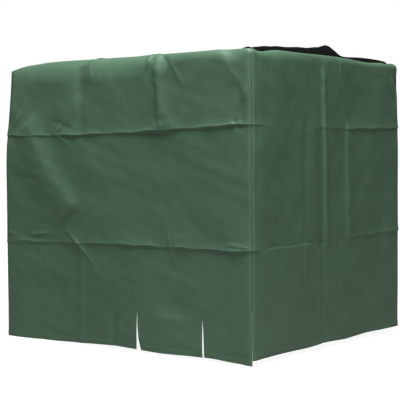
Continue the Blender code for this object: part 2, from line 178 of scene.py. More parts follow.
# Small puckers and pressed lines with sharp crests, placed from the photo
FRONT_PUCKERS = (
    Fold(0.058, -0.226, 0.012, -0.278, rise=0.005, left=0.008, right=0.010),
    Fold(0.034, -0.050, 0.030, -0.200, rise=0.004, left=0.016, right=0.030),
    Fold(0.285, -0.246, 0.335, -0.262, rise=-0.004, left=0.010, right=0.012),
    Fold(0.286, -0.282, 0.306, -0.262, rise=0.004, left=0.005, right=0.006),
    Fold(0.288, -0.300, 0.335, -0.328, rise=0.003, left=0.006, right=0.006),
    Fold(0.168, -0.704, 0.206, -0.700, rise=0.005, left=0.005, right=0.009),
    Fold(0.100, -0.730, 0.150, -0.732, rise=0.003, left=0.005, right=0.006),
    Fold(0.352, -0.700, 0.382, -0.722, rise=0.004, left=0.006, right=0.006),
    Fold(0.398, -0.735, 0.468, -0.800, rise=0.004, left=0.006, right=0.006),
    Fold(0.869, -0.700, 0.880, -0.750, rise=0.004, left=0.008, right=0.010),
    Fold(0.895, -0.700, 0.900, -0.722, rise=0.004, left=0.012, right=0.030),
    Fold(0.410, -0.022, 0.441, -0.006, rise=0.005, left=0.005, right=0.007),
    Fold(0.441, -0.006, 0.460, -0.050, rise=0.004, left=0.007, right=0.005),
    Fold(0.736, -0.008, 0.720, -0.034, rise=0.004, left=0.006, right=0.006),
    Fold(0.776, -0.004, 0.772, -0.022, rise=0.005, left=0.006, right=0.006),
    Fold(0.772, -0.022, 0.746, -0.052, rise=0.005, left=0.006, right=0.006),
    Fold(0.838, -0.008, 0.858, -0.026, rise=-0.006, left=0.007, right=0.007),
    Fold(0.886, -0.042, 0.928, -0.105, rise=0.003, left=0.006, right=0.005),
    Fold(0.800, -0.060, 0.806, -0.068, rise=0.003, left=0.006, right=0.006),
    Fold(0.800, -0.096, 0.806, -0.104, rise=0.003, left=0.006, right=0.006),
    Fold(0.815, -0.236, 0.828, -0.262, rise=0.004, left=0.008, right=0.008),
    Fold(1.110, 0.000, 1.222, -0.150, rise=0.007, left=0.080, right=0.060),
    Fold(1.196, -0.150, 1.210, -0.250, rise=-0.004, left=0.030, right=0.012),
    Fold(1.180, -0.262, 1.190, -0.274, rise=-0.005, left=0.006, right=0.006),
    Fold(1.170, -0.706, 1.236, -0.712, rise=0.004, left=0.010, right=0.010),
    Fold(0.010, -0.700, 0.030, -0.702, rise=0.003, left=0.006, right=0.006),
)
RIGHT_PUCKERS = (
    Fold(0.452, -0.055, 0.470, -0.085, rise=0.006, left=0.010, right=0.008),
    Fold(0.490, -0.086, 0.476, -0.150, rise=0.004, left=0.020, right=0.005),
    Fold(0.520, -0.006, 0.556, -0.064, rise=0.005, left=0.006, right=0.010),
    Fold(0.600, -0.030, 0.602, -0.055, rise=0.004, left=0.005, right=0.008),
    Fold(1.002, -0.012, 1.043, -0.066, rise=0.006, left=0.006, right=0.006),
    Fold(0.968, -0.010, 0.990, -0.044, rise=-0.004, left=0.010, right=0.010),
    Fold(0.394, -0.288, 0.394, -0.690, rise=0.001, left=0.010, right=0.012),
    Fold(0.652, -0.288, 0.652, -0.560, rise=0.003, left=0.006, right=0.040),
    Fold(0.340, -0.730, 0.342, -0.860, rise=0.003, left=0.014, right=0.014),
)
BACK_PUCKERS = (
    Fold(0.410, -0.240, 0.425, -0.290, rise=0.004, left=0.010, right=0.010),
    Fold(0.830, -0.690, 0.845, -0.740, rise=0.004, left=0.010, right=0.010),
)
LEFT_PUCKERS = (
    Fold(0.345, -0.250, 0.360, -0.310, rise=0.004, left=0.010, right=0.010),
    Fold(0.700, -0.700, 0.715, -0.760, rise=0.004, left=0.010, right=0.010),
)

Wall = namedtuple("Wall", "name length turn hem_start hem_end step roll sections folds puckers")
WALLS = (
    Wall("front_wall", LENGTH, 0, -1.136, -1.138, 0.006, Roll(0.090, 0.048, 0.012),
         FRONT_SECTIONS, FRONT_FOLDS, FRONT_PUCKERS),
    Wall("right_wall", DEPTH, 90, -1.119, -1.116, 0.006, Roll(0.030, 0.012, 0.004),
         RIGHT_SECTIONS, RIGHT_FOLDS, RIGHT_PUCKERS),
    Wall("back_wall", LENGTH, 180, -1.116, -1.124, 0.009, Roll(0.050, 0.030, 0.008),
         BACK_SECTIONS, BACK_FOLDS, BACK_PUCKERS),
    Wall("left_wall", DEPTH, 270, -1.124, -1.136, 0.009, Roll(0.060, 0.034, 0.008),
         LEFT_SECTIONS, LEFT_FOLDS, LEFT_PUCKERS),
)
FRONT, RIGHT, BACK, LEFT = range(len(WALLS))

# The two slits beside the tap flap, from the tip down to the hem
SlitLevel = namedtuple("SlitLevel", "height middle width")
SLITS = (
    (SlitLevel(-1.150, 0.719, 0.0320), SlitLevel(-1.090, 0.711, 0.0130),
     SlitLevel(-1.035, 0.707, 0.0045), SlitLevel(-0.988, 0.707, 0.0012)),
    (SlitLevel(-1.150, 1.032, 0.0060), SlitLevel(-1.090, 1.027, 0.0060),
     SlitLevel(-1.040, 1.023, 0.0050), SlitLevel(-0.996, 1.020, 0.0012)),
)
SLIT_SPREAD = 0.09
SLIT_CURL = 0.0020
SLIT_CURL_REACH = 0.016
FLAP_OUT = 0.002

# The standing fold of the slack top along the right edge
Crest = namedtuple("Crest", "along behind height")
CRESTS = (
    Crest(0.000, 0.020, 0.002),
    Crest(0.040, 0.020, 0.010),
    Crest(0.090, 0.024, 0.015),
    Crest(0.160, 0.030, 0.019),
    Crest(0.300, 0.045, 0.025),
    Crest(0.450, 0.055, 0.031),
    Crest(0.570, 0.060, 0.040),
    Crest(0.625, 0.060, 0.052),
    Crest(0.660, 0.054, 0.022),
    Crest(0.705, 0.042, 0.012),
    Crest(0.860, 0.040, 0.018),
    Crest(0.970, 0.034, 0.017),
    Crest(1.025, 0.026, 0.013),
    Crest(1.050, 0.024, 0.002),
)
Sag = namedtuple("Sag", "along depth width")
RIGHT_SAGS = (
    Sag(along=0.050, depth=0.009, width=0.060),
    Sag(along=0.870, depth=0.014, width=0.180),
)
SAG_END = 0.035
SAG_REACH = 0.035
CREST_FRONT = 0.8
CREST_BACK = 1.5

TopFold = namedtuple("TopFold", "x y to_x to_y rise width")
TOP_FOLDS = (
    TopFold(-0.210, -0.450, -0.206, 0.460, rise=0.010, width=0.030),
    TopFold(0.205, -0.440, 0.212, 0.450, rise=0.008, width=0.030),
    TopFold(-0.560, -0.175, 0.480, -0.170, rise=0.009, width=0.030),
    TopFold(-0.550, 0.178, 0.520, 0.182, rise=0.007, width=0.030),
    TopFold(0.500, 0.100, 0.120, 0.020, rise=0.015, width=0.045),
    TopFold(-0.540, -0.430, -0.300, -0.260, rise=0.006, width=0.045),
    TopFold(-0.100, 0.300, -0.420, 0.420, rise=0.010, width=0.045),
)

# Fine slack in the cloth: seeded small creases and a soft ripple
SEED = 1160
CREASES_PER_WALL = 40
CREASE_LENGTHS = (0.04, 0.20)
CREASE_WIDTHS = (0.004, 0.013)
CREASE_HEIGHTS = (0.0002, 0.0007)
Ripple = namedtuple("Ripple", "pitch height")
RIPPLES = (Ripple(0.21, 0.0006), Ripple(0.12, 0.0003), Ripple(0.065, 0.0002))
RIPPLE_DIRECTIONS = 7

HEM_TURN = 0.018
HEM_EDGE = 0.003
HEM_THICKNESS = 0.0009
SEAM_WELT = 0.0006
SEAM_WELT_WIDTH = 0.006

# How finely the sheets are made, and the sewing thread
ROW_EASE = 0.72
ROLL_ROWS = 16
CORNER_FACETS = 6
TOP_STEP = 0.009
TOP_RIPPLE = 1.2
THREAD_WIDTH = 0.00045
STITCH_SHARE = 0.7
CORNER_ROW = 0.0105


def from_hex(code):
    """An sRGB hex colour as linear red, green and blue."""
    channels = [int(code[n:n + 2], 16) / 255 for n in (1, 3, 5)]
    return [c / 12.92 if c <= 0.04045 else ((c + 0.055) / 1.055) ** 2.4 for c in channels]


def smooth(share):
    """Goes from 0 to 1 with level ends."""
    share = np.clip(share, 0.0, 1.0)
    return share * share * (3 - 2 * share)


def between(rows, key, along):
    """A row's value at each place, blended smoothly between the rows on either side."""
    places = np.array([row.along for row in rows])
    values = np.array([getattr(row, key) for row in rows])
    along = np.clip(along, places[0], places[-1])
    after = np.clip(np.searchsorted(places, along), 1, len(rows) - 1)
    share = smooth((along - places[after - 1]) / (places[after] - places[after - 1]))
    return values[after - 1] * (1 - share) + values[after] * share


def wall_sections(number):
    """All the sections of a wall, its two corners included."""
    wall = WALLS[number]
    start = CORNERS[number]
    end = CORNERS[(number + 1) % len(CORNERS)]
    first = Section(0.0, wall.hem_start, *start[:4], wall.sections[0].fullness)
    last = Section(wall.length, wall.hem_end, *end[:4], wall.sections[-1].fullness)
    return (first,) + wall.sections + (last,)


def roll_size(number, along):
    """The roll at each place: the wall's own, as full as it is there, or near a corner the corner's."""
    wall = WALLS[number]
    start = CORNERS[number].roll
    end = CORNERS[(number + 1) % len(CORNERS)].roll
    near = 1 - smooth(np.minimum(along, wall.length - along) / ROLL_BLEND)
    full = between(wall_sections(number), "fullness", along)
    first_half = along < wall.length / 2
    return Roll(*(full * own * (1 - near) + np.where(first_half, first, last) * near
                  for own, first, last in zip(wall.roll, start, end)))


def right_sag(along):
    """How far the right wall's top edge sags between its corners."""
    sag = sum(each.depth * np.exp(-((along - each.along) / each.width) ** 2) for each in RIGHT_SAGS)
    return sag * smooth(np.minimum(along, DEPTH - along) / SAG_END)


def edge_drop(number, along):
    """How far the top edge droops near the corners, and along the right wall."""
    wall = WALLS[number]
    end = CORNERS[(number + 1) % len(CORNERS)]
    drop = (CORNERS[number].drop * np.exp(-along / DROP_REACH)
            + end.drop * np.exp(-(wall.length - along) / DROP_REACH))
    if number == RIGHT:
        drop = drop + right_sag(along)
    return drop


def fold_push(fold, along, height, sharp=False):
    """How far a fold moves the cloth out at each place; a sharp one has an edge along its line."""
    run = Vector((fold.to_along - fold.along, fold.to_height - fold.height))
    length = run.length
    run.normalize()
    x = along - fold.along
    y = height - fold.height
    forward = x * run.x + y * run.y
    middle = np.clip(forward / length, 0.0, 1.0)
    side = x * run.y - y * run.x - fold.bow * 4 * middle * (1 - middle)
    width = np.where(side > 0, fold.left, fold.right)
    past = np.maximum(0.0, np.maximum(-forward, forward - length))
    end = min(FOLD_END, 0.5 * length + 0.006)
    away = np.abs(side / width) if sharp else (side / width) ** 2
    return fold.rise * np.exp(-away - (past / end) ** 2)


def ripple(along, height, seed):
    """A soft uneven ripple made of waves that run in several directions."""
    dice = np.random.default_rng(seed)
    total = np.zeros(np.broadcast(along, height).shape)
    for wave in RIPPLES:
        for _ in range(RIPPLE_DIRECTIONS):
            heading = dice.uniform(0, math.pi)
            phase = dice.uniform(0, 2 * math.pi)
            pitch = wave.pitch * dice.uniform(0.75, 1.3)
            across = along * math.cos(heading) + height * math.sin(heading)
            total += np.sin(2 * math.pi * across / pitch + phase) * wave.height / math.sqrt(3)
    return total


def small_creases(number, along, height):
    """Seeded small creases, most of them near upright or near level as pressed cloth has them."""
    wall = WALLS[number]
    dice = np.random.default_rng(SEED + number)
    total = np.zeros(np.broadcast(along, height).shape)
    for _ in range(CREASES_PER_WALL):
        x = dice.uniform(CREASE_MARGIN, wall.length - CREASE_MARGIN)
        y = dice.uniform(HEM_LEVEL + CREASE_MARGIN, -CREASE_MARGIN)
        base = dice.choice((0.0, math.pi / 2, dice.uniform(0, math.pi)))
        heading = base + dice.normal(0, 0.25)
        length = dice.uniform(*CREASE_LENGTHS)
        width = dice.uniform(*CREASE_WIDTHS)
        rise = dice.uniform(*CREASE_HEIGHTS) * dice.choice((-1, 1))
        line = Fold(x, y, x + length * math.cos(heading), y + length * math.sin(heading),
                    rise, width, width * dice.uniform(1.0, 3.0))
        total += fold_push(line, along, height)
    return total


def flap_push(along, height):
    """The tap flap hangs a little forward and the slit edges beside it curl out."""
    push = np.zeros(np.broadcast(along, height).shape)
    edges = []
    for slit in SLITS:
        levels = np.array([level.height for level in slit])
        middle = np.interp(height, levels, [level.middle for level in slit])
        width = np.interp(height, levels, [level.width for level in slit])
        open_share = smooth((levels[-1] - height) / 0.12)
        edges.append((middle, open_share))
        away = np.maximum(0.0, np.abs(along - middle) - width / 2)
        push += SLIT_CURL * open_share * np.exp(-away / SLIT_CURL_REACH)
    on_flap = (along > edges[0][0]) & (along < edges[1][0])
    return push + np.where(on_flap, FLAP_OUT * edges[0][1], 0.0)


def wall_push(number, along, height):
    """How far the cloth stands out from the plain wall."""
    wall = WALLS[number]
    sections = wall_sections(number)
    uneven = 1 + CREASE_UNEVEN * np.sin(along * 31 + number) * np.sin(along * 13.7 + 2 * number)
    push = np.zeros(np.broadcast(along, height).shape)
    inside = smooth(np.minimum(along, wall.length - along) / WAVE_FADE)
    for crease in ("low", "high"):
        line = between(sections, crease + "_crease", along)
        line = line + CREASE_WANDER * np.sin(along * 43 + number) * inside
        rise = between(sections, crease + "_rise", along) * (1 + (uneven - 1) * inside)
        above = height - line
        over = (np.exp(-np.abs(above) / CREASE_WIDE) + np.exp(-np.abs(above) / CREASE_CLOSE)) / 2
        push += rise * np.where(above > 0, over, np.exp(-np.abs(above) / CREASE_BELOW))
    for fold in wall.folds:
        push += fold_push(fold, along, height)
    edge = smooth(np.minimum(along, wall.length - along) / PUCKER_MARGIN)
    for fold in wall.puckers:
        push += fold_push(fold, along, height, sharp=True) * edge
    round_along = along + number * WAVE_SHIFT
    for wave in WAVES:
        turn = round_along / wave.along_pitch + height / wave.upright_pitch
        push += wave.height * inside * np.sin(2 * math.pi * turn + wave.phase)
    push += small_creases(number, along, height) * edge
    push += ripple(along, height, SEED + 10 + number) * edge
    if number == FRONT:
        push += flap_push(along, height)
    upper = smooth((height + LEAN_HEIGHT) / LEAN_HEIGHT)
    belly = np.sin(math.pi * np.minimum(1.0, -height))
    for corner, away in ((number, along), (number + 1, wall.length - along)):
        shape = CORNERS[corner % len(CORNERS)]
        near = np.exp(-(away / LEAN_REACH) ** 2)
        push += near * (shape.flare + shape.bulge * belly - shape.lean * upper)
    hem = between(sections, "hem", along)
    push += HEM_THICKNESS * (1 - smooth((height - hem - HEM_TURN) / HEM_EDGE))
    from_seam = np.minimum(along, wall.length - along) - corner_places(2)[0]
    push += SEAM_WELT * np.exp(-((from_seam - SEAM_WELT_WIDTH) / SEAM_WELT_WIDTH) ** 2)
    return push


def corner_places(facets):
    """Places of the facets at the left end of a wall, from the seam to the straight."""
    angles = np.linspace(SEAM_ANGLE, 0.0, facets)
    return CORNER_RADIUS - CORNER_RADIUS * angles


def on_wall(number, along, height, inset=0.0, angle=0.0, gap=0.0):
    """World places of points on a wall's outer side, as an array with x, y and z last."""
    wall = WALLS[number]
    along, height, inset, angle = np.broadcast_arrays(along, height, inset, angle)
    half = wall.length / 2
    stand_off = (LENGTH + DEPTH) / 2 - half - inset
    radius = CORNER_RADIUS + CORNER_GROWTH * inset
    place = along - half
    straight = half - CORNER_RADIUS
    turn = np.maximum(0.0, np.abs(place) - straight) / CORNER_RADIUS
    side = np.sign(place)
    flat_half = half - inset - radius
    flat = np.where(turn > 0, side * flat_half, place * flat_half / straight)
    level = np.sqrt(np.maximum(0.0, np.cos(angle)))
    push = wall_push(number, along, height) * level
    reach = radius + push * np.cos(angle)
    x = flat + side * reach * np.sin(turn) - side * gap * np.cos(turn)
    y = stand_off - radius + reach * np.cos(turn) + gap * np.sin(turn)
    heading = math.radians(wall.turn)
    return np.stack((x * math.cos(heading) + y * math.sin(heading),
                     x * math.sin(heading) - y * math.cos(heading),
                     height + push * np.sin(angle)), axis=-1)


def eased(count, ease):
    """Shares from 0 to 1, closer together at both ends."""
    share = np.linspace(0, 1, count + 1)[:-1]
    return share - ease * np.sin(2 * math.pi * share) / (2 * math.pi)


def wall_rows(number, along, step):
    """Height, inset and roll angle of each row and column of a wall, from hem to top seam."""
    sections = wall_sections(number)
    roll = roll_size(number, along)
    guides = [between(sections, key, along) for key in ("hem", "low_crease", "high_crease")]
    guides.append(TOP - roll.height)
    drop = edge_drop(number, along)
    rows = []
    for low, high in zip(guides, guides[1:]):
        count = max(4, round(float(np.mean(high - low)) / step))
        rows += [(low + share * (high - low), 0 * low, 0 * low) for share in eased(count, ROW_EASE)]
    for angle in np.radians(np.linspace(0, 90, ROLL_ROWS)):
        rise = math.sin(angle)
        rows.append((TOP - roll.height + roll.height * rise - drop * rise,
                     roll.depth * (1 - math.cos(angle)), 0 * along + angle))
    for share in (0.5, 1.0):
        rows.append((TOP - drop, roll.depth + share * roll.lap, 0 * along + math.pi / 2))
    return [np.stack(part) for part in zip(*rows)]


def wall_columns(length, step):
    """Places of a wall's columns: the facets of its corners and even ones between."""
    ends = corner_places(CORNER_FACETS)
    count = round((length - 2 * CORNER_RADIUS) / step)
    middle = np.linspace(CORNER_RADIUS, length - CORNER_RADIUS, count + 1)[1:-1]
    return np.concatenate((ends, middle, (length - ends)[::-1]))


def with_slits(places, heights):
    """Moves the columns beside each slit onto its edges; gives places for every row and column."""
    marks = []
    for slit in SLITS:
        middle = slit[-1].middle
        left = int(np.argmin(np.abs(places - middle)))
        marks.append(left)
    moved = np.broadcast_to(places, heights.shape).copy()
    for left, slit in zip(marks, SLITS):
        levels = [level.height for level in slit]
        middle = np.interp(heights[:, left], levels, [level.middle for level in slit])
        width = np.interp(heights[:, left], levels, [level.width for level in slit])
        for row in range(len(moved)):
            near = [places[left] - SLIT_SPREAD, places[left],
                    places[left + 1], places[left + 1] + SLIT_SPREAD]
            to = [near[0], middle[row] - width[row] / 2, middle[row] + width[row] / 2, near[3]]
            line = moved[row]
            close = (line >= near[0]) & (line <= near[3])
            line[close] = np.interp(places[close], near, to)
    return moved, marks


def mesh_from_grid(name, points, flat, open_faces=()):
    """A mesh over a grid of points, with the cloth's own flat places as its UV map."""
    rows, columns = points.shape[:2]
    index = np.arange(rows * columns).reshape(rows, columns)
    faces = np.stack((index[:-1, :-1], index[:-1, 1:], index[1:, 1:], index[1:, :-1]), axis=-1)
    keep = np.ones((rows - 1, columns - 1), dtype=bool)
    for row, column in open_faces:
        keep[row, column] = False
    faces = faces[keep]
    mesh = bpy.data.meshes.new(name)
    mesh.from_pydata(points.reshape(-1, 3).tolist(), [], faces.tolist())
    uv = mesh.uv_layers.new(name="cloth")
    loops = np.empty(len(mesh.loops), dtype=np.int32)
    mesh.loops.foreach_get("vertex_index", loops)
    uv.data.foreach_set("uv", flat.reshape(-1, 2)[loops].astype(np.float32).ravel())
    mesh.update()
    return mesh


def mark_relief_shading(mesh, points):
    """Stores how far each point stands proud of its neighbours, for the painted highlights on ridges and
    painted shade in troughs.
    """
    around = np.zeros(points.shape)
    count = 2
    padded = np.pad(points, ((count, count), (count, count), (0, 0)), mode="edge")
    rows, columns = points.shape[:2]
    for down, right in ((0, 1), (2, 1), (1, 0), (1, 2)):
        around += padded[down * count:down * count + rows, right * count:right * count + columns]
    around /= 4
    along = np.gradient(points, axis=1)
    up = np.gradient(points, axis=0)
    normal = np.cross(along, up)
    normal /= np.maximum(1e-12, np.linalg.norm(normal, axis=-1, keepdims=True))
    span = np.linalg.norm(along, axis=-1) + np.linalg.norm(up, axis=-1)
    proud = np.sum((points - around) * normal, axis=-1) / np.maximum(1e-9, span)
    # Proudness that the cloth colour turns into painted highlights on ridges and painted shade in troughs
    layer = mesh.attributes.new("relief_shading", "FLOAT", "POINT")
    layer.data.foreach_set("value", proud.astype(np.float32).ravel())


def add_cloth(name, mesh, thickness, materials):
    """Gives a surface its thickness on the inner side and links it as a finished piece."""
    draft = bpy.data.objects.new(name + ".draft", mesh)
    bpy.context.collection.objects.link(draft)
    for material in materials:
        mesh.materials.append(material)
    solid = draft.modifiers.new("Cloth thickness", "SOLIDIFY")
    solid.thickness = thickness
    solid.offset = -1
    solid.material_offset = len(materials) - 1
    solid.material_offset_rim = 0
    made = bpy.data.meshes.new_from_object(draft.evaluated_get(bpy.context.evaluated_depsgraph_get()))
    bpy.data.objects.remove(draft, do_unlink=True)
    made.shade_smooth()
    piece = bpy.data.objects.new(name, made)
    bpy.context.collection.objects.link(piece)
    return piece


def add_node(tree, kind, settings=None, links=None):
    """Adds a node: settings are its properties or input values, links its inputs' sources."""
    node = tree.nodes.new(kind)
    for key, value in (settings or {}).items():
        if isinstance(key, str) and hasattr(node, key):
            setattr(node, key, value)
        else:
            node.inputs[key].default_value = value
    for key, source in (links or {}).items():
        tree.links.new(source, node.inputs[key])
    return node


THREAD_PITCH = 0.9 * MM
SLUB_SPAN = 14 * MM
PRESSED_SPAN = 90 * MM


def oxford_cloth(name, colour, roughness, gloss, sheen, mottle, relief_shading_amount):
    """Woven polyester Oxford cloth with a coat: a soft satin face, dull in the thread gaps.

    The threads lie 0.9 mm apart, too fine to show in the whole view and seen only close by.
    Proud ridges get a painted highlight and troughs a painted shade in the base colour, by how far each
    point stands proud.
    """
    material = bpy.data.materials.new(name)
    material.use_nodes = True
    tree = material.node_tree
    tree.nodes.clear()
    cloth_map = add_node(tree, "ShaderNodeUVMap", {"uv_map": "cloth"}).outputs["UV"]
    warp = add_node(tree, "ShaderNodeTexWave",
                    {"wave_type": "BANDS", "bands_direction": "X", "Scale": 1 / THREAD_PITCH / 20 * math.pi,
                     "Distortion": 0.4, "Detail": 1.0}, {"Vector": cloth_map})
    weft = add_node(tree, "ShaderNodeTexWave",
                    {"wave_type": "BANDS", "bands_direction": "Y", "Scale": 1 / THREAD_PITCH / 20 * math.pi,
                     "Distortion": 0.4, "Detail": 1.0}, {"Vector": cloth_map})
    weave = add_node(tree, "ShaderNodeMath", {"operation": "MULTIPLY"},
                     {0: warp.outputs["Fac"], 1: weft.outputs["Fac"]})
    slub = add_node(tree, "ShaderNodeTexNoise", {"Scale": 1 / SLUB_SPAN, "Detail": 3.0},
                    {"Vector": cloth_map})
    pressed = add_node(tree, "ShaderNodeTexNoise", {"Scale": 1 / PRESSED_SPAN, "Detail": 4.0},
                       {"Vector": cloth_map})
    # Painted light: proud ridges are lifted paler (painted highlight) and troughs darkened (painted shade)
    # in the base colour
    relief_shading = add_node(tree, "ShaderNodeAttribute", {"attribute_name": "relief_shading"})
    ridge = add_node(tree, "ShaderNodeMapRange",
                     {"From Min": -0.02, "From Max": 0.04, "To Min": -0.35, "To Max": 1.0},
                     {"Value": relief_shading.outputs["Fac"]})
    uneven = add_node(tree, "ShaderNodeMath", {"operation": "ADD"},
                      {0: slub.outputs["Fac"], 1: pressed.outputs["Fac"]})
    lift = add_node(tree, "ShaderNodeMapRange",
                    {"From Min": 0.7, "From Max": 1.3, "To Min": 1 - mottle, "To Max": 1 + mottle},
                    {"Value": uneven.outputs["Value"]})
    lift_with_relief_shading = add_node(tree, "ShaderNodeMath", {"operation": "MULTIPLY_ADD", 1: relief_shading_amount},
                         {0: ridge.outputs["Result"], 2: lift.outputs["Result"]})
    shade = add_node(tree, "ShaderNodeVectorMath", {"operation": "SCALE", 0: colour},
                     {"Scale": lift_with_relief_shading.outputs["Value"]})
    rough = add_node(tree, "ShaderNodeMapRange",
                     {"From Min": 0.3, "From Max": 0.7, "To Min": roughness - 0.06,
                      "To Max": roughness + 0.08}, {"Value": slub.outputs["Fac"]})
    fine = add_node(tree, "ShaderNodeBump", {"Strength": 0.25, "Distance": 0.15 * MM},
                    {"Height": weave.outputs["Value"]})
    surface = add_node(tree, "ShaderNodeBump", {"Strength": 0.35, "Distance": 1.2 * MM},
                       {"Height": slub.outputs["Fac"], "Normal": fine.outputs["Normal"]})
    shader = add_node(tree, "ShaderNodeBsdfPrincipled",
                      {"Metallic": 0.0, "IOR": 1.5, "Specular IOR Level": gloss, "Sheen Weight": sheen,
                       "Sheen Roughness": 0.4},
                      {"Base Color": shade.outputs["Vector"], "Roughness": rough.outputs["Result"],
                       "Normal": surface.outputs["Normal"]})
    add_node(tree, "ShaderNodeOutputMaterial", {}, {"Surface": shader.outputs["BSDF"]})
    return material


def polyester_thread(name, colour):
    """Twisted polyester sewing thread: a faint shine along each stitch."""
    material = bpy.data.materials.new(name)
    material.use_nodes = True
    tree = material.node_tree
    shader = tree.nodes["Principled BSDF"]
    shader.inputs["Roughness"].default_value = 0.45
    twist = add_node(tree, "ShaderNodeTexNoise", {"Scale": 1 / (2 * MM)})
    shade = add_node(tree, "ShaderNodeMixRGB", {"Color1": (*(0.8 * c for c in colour), 1),
                                                "Color2": (*colour, 1)},
                     {"Fac": twist.outputs["Fac"]})
    tree.links.new(shade.outputs["Color"], shader.inputs["Base Color"])
    return material


def studio_floor(name, colour, overexposed):
    """Smooth matt studio paper, laid flat.

    The camera sees it overexposed, as in the photo, and it throws little light back up.
    """
    material = bpy.data.materials.new(name)
    material.use_nodes = True
    tree = material.node_tree
    tree.nodes.clear()
    paper = add_node(tree, "ShaderNodeBsdfDiffuse", {"Color": (*colour, 1)})
    glow = add_node(tree, "ShaderNodeEmission", {"Color": (1, 1, 1, 1), "Strength": overexposed})
    bright = add_node(tree, "ShaderNodeAddShader", {}, {0: paper.outputs["BSDF"],
                                                        1: glow.outputs["Emission"]})
    path = add_node(tree, "ShaderNodeLightPath")
    both = add_node(tree, "ShaderNodeMixShader", {},
                    {0: path.outputs["Is Camera Ray"], 1: paper.outputs["BSDF"],
                     2: bright.outputs["Shader"]})
    add_node(tree, "ShaderNodeOutputMaterial", {}, {"Surface": both.outputs["Shader"]})
    return material


def make_wall(number, settings):
    """One wall as a thin sheet on its solid's folds, with its hem, seam welts and slits."""
    wall = WALLS[number]
    places = wall_columns(wall.length, wall.step)
    heights, insets, angles = wall_rows(number, places, wall.step)
    along = np.broadcast_to(places, heights.shape).copy()
    open_faces = []
    if number == FRONT:
        along, marks = with_slits(places, heights)
        for left, slit in zip(marks, SLITS):
            tip = slit[-1].height
            rows = np.flatnonzero(heights[:, left] < tip)
            open_faces += [(row, left) for row in rows]
    gap = np.zeros(heights.shape)
    gap[:, 0] = SEAM_GAP / 2
    gap[:, -1] = SEAM_GAP / 2
    points = on_wall(number, along, heights, insets, angles, gap)
    flat = np.stack((along + number * 2, heights + insets), axis=-1)
    mesh = mesh_from_grid(wall.name + "_cloth", points, flat, open_faces)
    mark_relief_shading(mesh, points)
    outside = bpy.data.materials["Green coated Oxford"]
    inside = bpy.data.materials["Green Oxford backing"]
    piece = add_cloth(wall.name + "_cloth", mesh, settings.thickness, (outside, inside))
    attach(piece, "root")
    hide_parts(wall.name)
    return piece


def top_drop(x_place, y_place):
    """How far the top droops at its corners, in step with the walls' own droop there."""
    at_seam = corner_places(2)[0]
    drop = 0.0
    for number, corner in enumerate(CORNERS):
        from_x = LENGTH - x_place if number in (1, 2) else x_place
        from_y = DEPTH - y_place if number in (2, 3) else y_place
        drop = drop + corner.drop * np.exp(-(from_x + from_y - at_seam) / DROP_REACH)
    return drop


def crest_rise(x, y):
    """The standing fold along the right edge."""
    along = np.clip(y + DEPTH / 2, 0, DEPTH)
    edge = LENGTH / 2 - WALLS[RIGHT].roll.depth - WALLS[RIGHT].roll.lap
    behind = np.maximum(0.0, edge - x)
    crest = between(CRESTS, "behind", along)
    height = between(CRESTS, "height", along)
    front = height * (behind / crest) ** CREST_FRONT
    back = height * (1 - smooth((behind - crest) / (crest * CREST_BACK)))
    return np.where(behind <= crest, front, back)


def top_rise(x, y):
    """How far the top stands off the tank, apart from its edge."""
    rise = np.zeros(x.shape)
    for fold in TOP_FOLDS:
        run = Vector((fold.to_x - fold.x, fold.to_y - fold.y))
        here_x = x - fold.x
        here_y = y - fold.y
        share = np.clip((here_x * run.x + here_y * run.y) / run.length_squared, 0, 1)
        away = np.hypot(here_x - share * run.x, here_y - share * run.y)
        rise += fold.rise * np.exp(-(away / fold.width) ** 2)
    rise += np.abs(ripple(x, y, SEED + 30)) * TOP_RIPPLE
    from_side = np.minimum(LENGTH / 2 - np.abs(x), DEPTH / 2 - np.abs(y))
    return rise * smooth((from_side - TOP_EDGE_FLAT) / TOP_EDGE_FADE)


def top_edge(number, along):
    """Points of the top's edge, beside the wall's seam."""
    roll = roll_size(number, along)
    height = TOP - edge_drop(number, along)
    inset = roll.depth + roll.lap + TOP_SEAM_GAP
    return on_wall(number, along, height, inset, math.pi / 2)


def make_top(settings):
    """The slack black top, sewn to the four walls."""
    across = wall_columns(LENGTH, TOP_STEP)
    deep = wall_columns(DEPTH, TOP_STEP)
    front = top_edge(FRONT, across)[None, :, :]
    back = top_edge(BACK, LENGTH - across)[None, :, :]
    right = top_edge(RIGHT, deep)[:, None, :]
    left = top_edge(LEFT, DEPTH - deep)[:, None, :]
    u = (front[..., 0] - front[0, 0, 0]) / (front[0, -1, 0] - front[0, 0, 0])
    v = (left[..., 1] - left[0, 0, 1]) / (left[-1, 0, 1] - left[0, 0, 1])
    u = u[..., None]
    v = v[..., None]
    corners = (front[:, :1] * (1 - u) * (1 - v) + front[:, -1:] * u * (1 - v)
               + back[:, :1] * (1 - u) * v + back[:, -1:] * u * v)
    points = front * (1 - v) + back * v + left * (1 - u) + right * u - corners
    x_place, y_place = np.meshgrid(across, deep)
    sag = right_sag(y_place) * np.exp(-(LENGTH - x_place) / SAG_REACH)
    level = TOP - top_drop(x_place, y_place) - sag
    rise = crest_rise(points[..., 0], points[..., 1]) + top_rise(points[..., 0], points[..., 1])
    rise[0, :] = rise[-1, :] = 0
    rise[:, 0] = rise[:, -1] = 0
    points[..., 2] = level + rise
    flat = np.stack((x_place, y_place + 3), axis=-1)
    mesh = mesh_from_grid("top_panel_cloth", points, flat)
    mark_relief_shading(mesh, points)
    outside = bpy.data.materials["Black coated Oxford"]
    piece = add_cloth("top_panel_cloth", mesh, settings.thickness, (outside,))
    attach(piece, "root")
    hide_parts("top_panel")
    return piece


